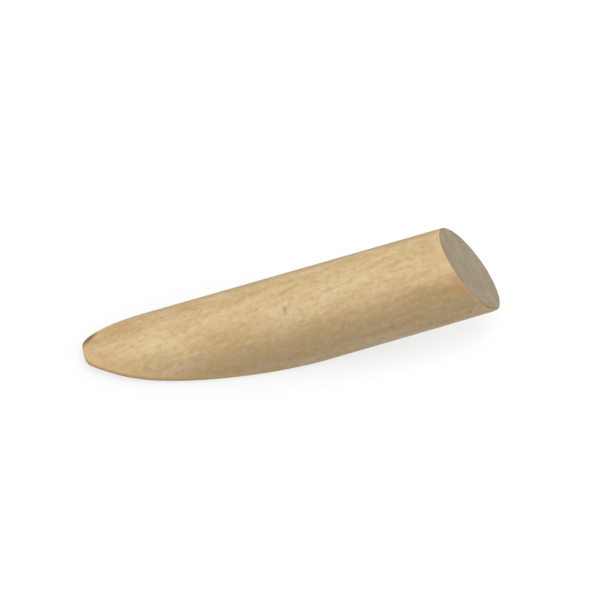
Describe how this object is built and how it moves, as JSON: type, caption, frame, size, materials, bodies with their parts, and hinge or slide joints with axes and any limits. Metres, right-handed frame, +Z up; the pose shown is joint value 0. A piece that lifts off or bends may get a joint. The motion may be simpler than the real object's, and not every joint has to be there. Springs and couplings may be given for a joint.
{
  "type": "pocket hole plug",
  "caption": "Solid wood plug for a slanted screw pocket: a round dowel with a long oval show face at one end and a slanting seat end.",
  "frame": {"origin": "the middle of the oval show face, where the dowel's axis crosses it", "axes": "+X along the show face from the tip to the seat end, +Z up, from the show face into the plug; the plug lies on its show face and the dowel rises at 15 degrees towards +X; symmetrical about Y = 0"},
  "size_m": [0.0438, 0.0096, 0.0107],
  "materials": {
    "bare_birch": "unfinished, sawn oval face and end, lightly sanded round side"
  },
  "bodies": {
    "root": {"plug": "bare_birch"}
  },
  "joints": []
}
